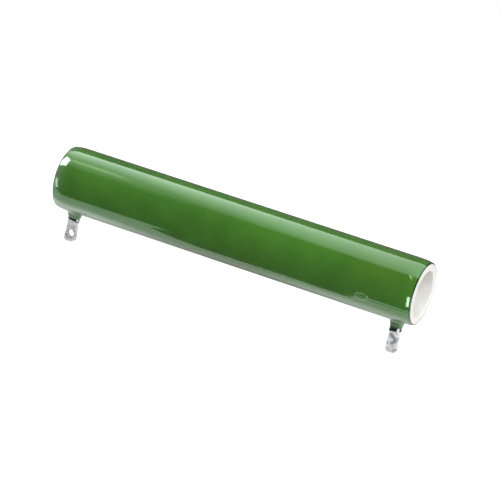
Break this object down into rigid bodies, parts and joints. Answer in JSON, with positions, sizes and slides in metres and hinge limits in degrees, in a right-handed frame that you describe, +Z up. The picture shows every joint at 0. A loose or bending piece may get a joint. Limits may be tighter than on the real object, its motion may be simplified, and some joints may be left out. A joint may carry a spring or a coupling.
{
  "type": "wirewound resistor",
  "caption": "Tubular wirewound power resistor: hollow ceramic tube wound with resistance wire under glossy green enamel, with a tinned solder lug below each end.",
  "frame": {"origin": "middle of the tube's axis, halfway between its two ends", "axes": "+X along the tube's axis, +Z up, away from the solder lugs, which point to -Z"},
  "size_m": [0.17, 0.0284, 0.0428],
  "materials": {
    "ceramic": "matt white fired ceramic, unglazed",
    "resistance_wire": "drawn nickel-chromium wire, dull grey",
    "tinned_strip": "hot-tinned strip, uneven grey-silver solder surface",
    "enamel": "glossy green vitreous enamel, near black at the rims of the collars"
  },
  "bodies": {
    "root": {"ceramic_tube": "ceramic", "resistance_wire": "resistance_wire", "terminal_left": "tinned_strip", "terminal_right": "tinned_strip", "enamel_coat": "enamel"}
  },
  "joints": []
}
